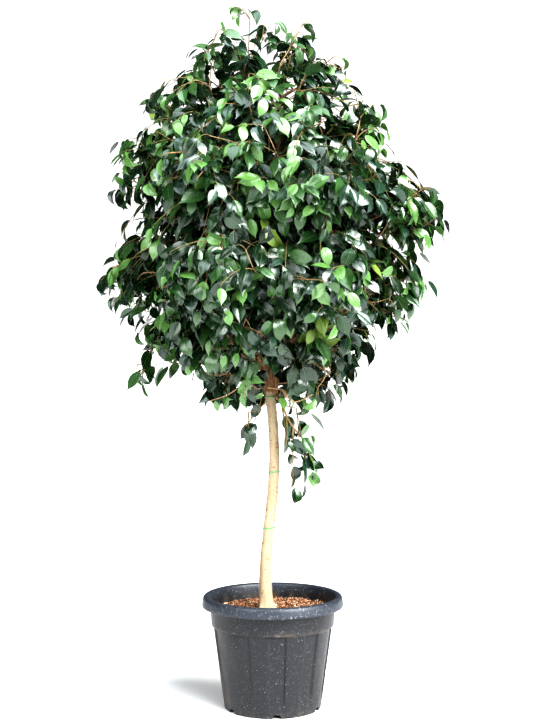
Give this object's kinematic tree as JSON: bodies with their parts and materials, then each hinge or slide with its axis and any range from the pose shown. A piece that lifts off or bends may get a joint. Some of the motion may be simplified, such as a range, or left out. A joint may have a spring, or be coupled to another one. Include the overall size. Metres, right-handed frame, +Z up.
{
  "type": "potted weeping fig standard",
  "caption": "Weeping fig grown as a standard: a clear stem carries a loose, drooping crown above a round nursery pot; stands free on its base.",
  "frame": {"origin": "centre of the pot's flat underside", "axes": "+Z up along the stem; -Y is the front, +X is to the right seen from the front"},
  "size_m": [0.8805, 0.7516, 1.7488],
  "materials": {
    "pot": "satin",
    "potting_mix": "matte",
    "stem_bark": "matte",
    "bough_bark": "matte",
    "tie": "satin",
    "foliage": "satin"
  },
  "bodies": {
    "root": {"bough_crest_back": "bough_bark", "bough_crest_front": "bough_bark", "bough_crest_left": "bough_bark", "bough_crest_right": "bough_bark", "bough_high_left": "bough_bark", "bough_high_right": "bough_bark", "bough_leader": "bough_bark", "bough_top_right": "bough_bark", "foliage_crest_1": "foliage", "foliage_crest_2": "foliage", "foliage_crest_3": "foliage", "foliage_crest_4": "foliage", "foliage_hanging_far_left": "foliage", "foliage_hanging_left": "foliage", "foliage_hanging_right": "foliage", "foliage_leader_tuft": "foliage", "foliage_shoulder_1": "foliage", "foliage_shoulder_2": "foliage", "foliage_shoulder_3": "foliage", "foliage_shoulder_4": "foliage", "foliage_shoulder_5": "foliage", "foliage_shoulder_6": "foliage", "foliage_skirt_1": "foliage", "foliage_skirt_2": "foliage", "foliage_skirt_3": "foliage", "foliage_skirt_4": "foliage", "foliage_skirt_5": "foliage", "foliage_top_1": "foliage", "foliage_top_2": "foliage", "foliage_waist_1": "foliage", "foliage_waist_2": "foliage", "foliage_waist_3": "foliage", "foliage_waist_4": "foliage", "foliage_waist_5": "foliage", "foliage_waist_6": "foliage", "pot": "pot", "potting_mix": "potting_mix", "stem": "stem_bark", "tie_lower": "tie", "tie_middle": "tie", "tie_upper": "tie"}
  },
  "joints": []
}
